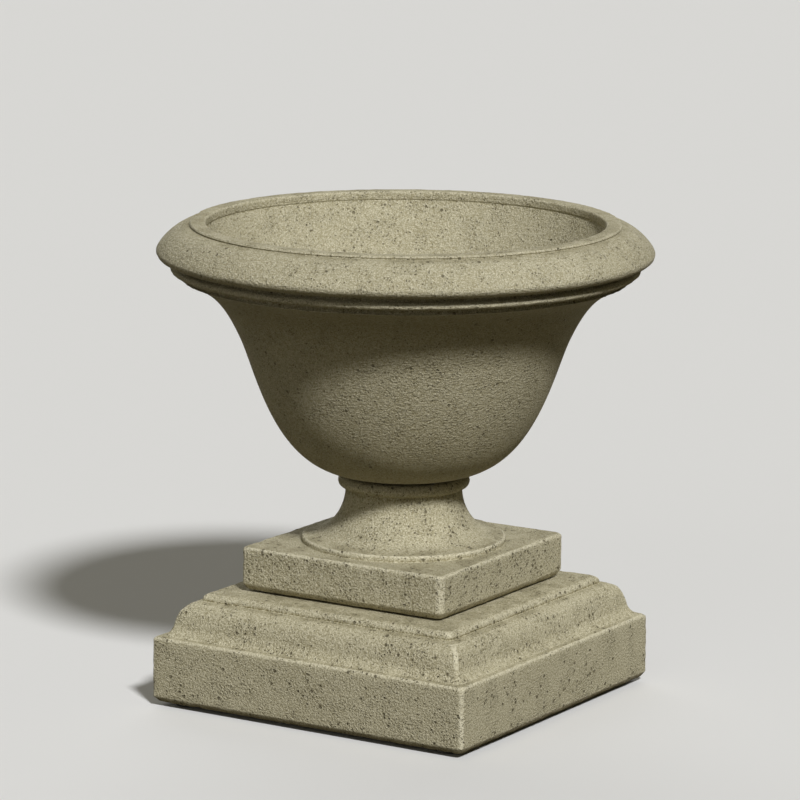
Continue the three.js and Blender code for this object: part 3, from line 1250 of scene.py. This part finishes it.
@dataclass
class Studio:
    """Plain pale floor and backdrop, a key light, a low fill in front, a soft light behind and a sky."""

    floor_half: float = 20.0
    key: Lamp = Lamp("key", math.radians(53), math.radians(42.5), math.radians(8), 3.05)
    back: Lamp = Lamp("back", math.radians(218), math.radians(24), math.radians(55), 0.8)
    fill: Lamp = Lamp("fill", math.radians(8), math.radians(18), math.radians(50), 0.28)
    sky: float = 0.068
    sky_colour: Colour = tint(1.0, 0.9, 0.48)
    backdrop: Colour = tint(0.8, 0.8, 0.8)
    dark_floor: Colour = tint(0.08, 0.064, 0.028)

    def shows_backdrop(self, graph: Graph) -> Link:
        """Gives 1 to rays that show the backdrop and 0 to rays that light the object.

        Args:
            graph: The nodes of the floor's material or of the world.

        Returns:
            The value.
        """
        ray = graph.node("ShaderNodeLightPath", {}, {})
        names = ("Is Camera Ray", "Is Glossy Ray", "Is Transmission Ray")
        seen, mirrored, through = (Link(graph, ray.outputs[name]) for name in names)
        return seen.most(mirrored).most(through)

    def floor(self) -> bpy.types.Object:
        """Lays the floor. It looks pale to the camera and throws back less light than it shows.

        Returns:
            The floor.
        """
        half = self.floor_half
        mesh = bpy.data.meshes.new("studio_floor")
        square = [(-half, -half, 0.0), (half, -half, 0.0), (half, half, 0.0), (-half, half, 0.0)]
        mesh.from_pydata(square, [], [(0, 1, 2, 3)])
        floor = bpy.data.objects.new("studio_floor", mesh)
        bpy.context.scene.collection.objects.link(floor)
        graph = Graph(bpy.data.materials.new("studio_floor"))
        colour = graph.mix(self.shows_backdrop(graph), self.dark_floor, self.backdrop)
        values = {"Base Color": colour, "Roughness": 1.0, "Specular IOR Level": 0.0}
        mesh.materials.append(graph.finish(values))
        return floor

    def world(self) -> None:
        """Lights the scene evenly from all round, and shows a pale backdrop behind it."""
        graph = Graph(bpy.data.worlds.new("studio"))
        bpy.context.scene.world = graph.owner
        lights = {"Color": self.sky_colour, "Strength": self.sky}
        shows = {"Color": self.backdrop, "Strength": 1.0}
        sky, pale = (graph.node("ShaderNodeBackground", {}, values) for values in (lights, shows))
        inputs = {
            0: self.shows_backdrop(graph),
            1: Link(graph, sky.outputs[0]),
            2: Link(graph, pale.outputs[0]),
        }
        mixed = graph.node("ShaderNodeMixShader", {}, inputs)
        graph.node("ShaderNodeOutputWorld", {}, {"Surface": Link(graph, mixed.outputs[0])})

    def build(self) -> None:
        """Builds the floor, the world and the lamps."""
        self.floor()
        self.world()
        for lamp in (self.key, self.back, self.fill):
            lamp.build()


@dataclass(frozen=True)
class Viewpoint:
    """The photograph's viewing angle: place in metres, turns in radians, lens and sensor in mm."""

    place: tuple[float, float, float] = (2.5966, -4.1365, 1.3058)
    turn: float = math.radians(32.177)
    tilt: float = math.radians(11.244)
    roll: float = math.radians(0.4264)
    lens: float = 202.5
    sensor_width: float = 36.0
    clip_end: float = 50.0

    def build(self) -> bpy.types.Object:
        """Places the camera.

        Returns:
            The camera.
        """
        data = bpy.data.cameras.new("camera")
        data.sensor_width = self.sensor_width
        data.lens = self.lens
        data.clip_end = self.clip_end
        camera = bpy.data.objects.new("camera", data)
        turned = Matrix.Rotation(self.turn, 4, "Z") @ Matrix.Rotation(math.pi / 2 - self.tilt, 4, "X")
        rolled = turned @ Matrix.Rotation(self.roll, 4, "Z")
        camera.matrix_world = Matrix.Translation(self.place) @ rolled
        bpy.context.scene.collection.objects.link(camera)
        bpy.context.scene.camera = camera
        return camera


def main() -> None:
    """Builds the camera, the urn and the studio."""
    logging.basicConfig(level=logging.INFO, format="%(message)s")
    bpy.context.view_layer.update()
    Viewpoint().build()
    for piece in (Plinth().build(), Foot().build(), Bowl().build(), *SmallPieces().build()):
        LOG.info("%s: %d faces", piece.name, len(piece.data.polygons))
    Studio().build()
    bpy.context.scene.view_settings.view_transform = "Standard"


if __name__ == "__main__":
    main()
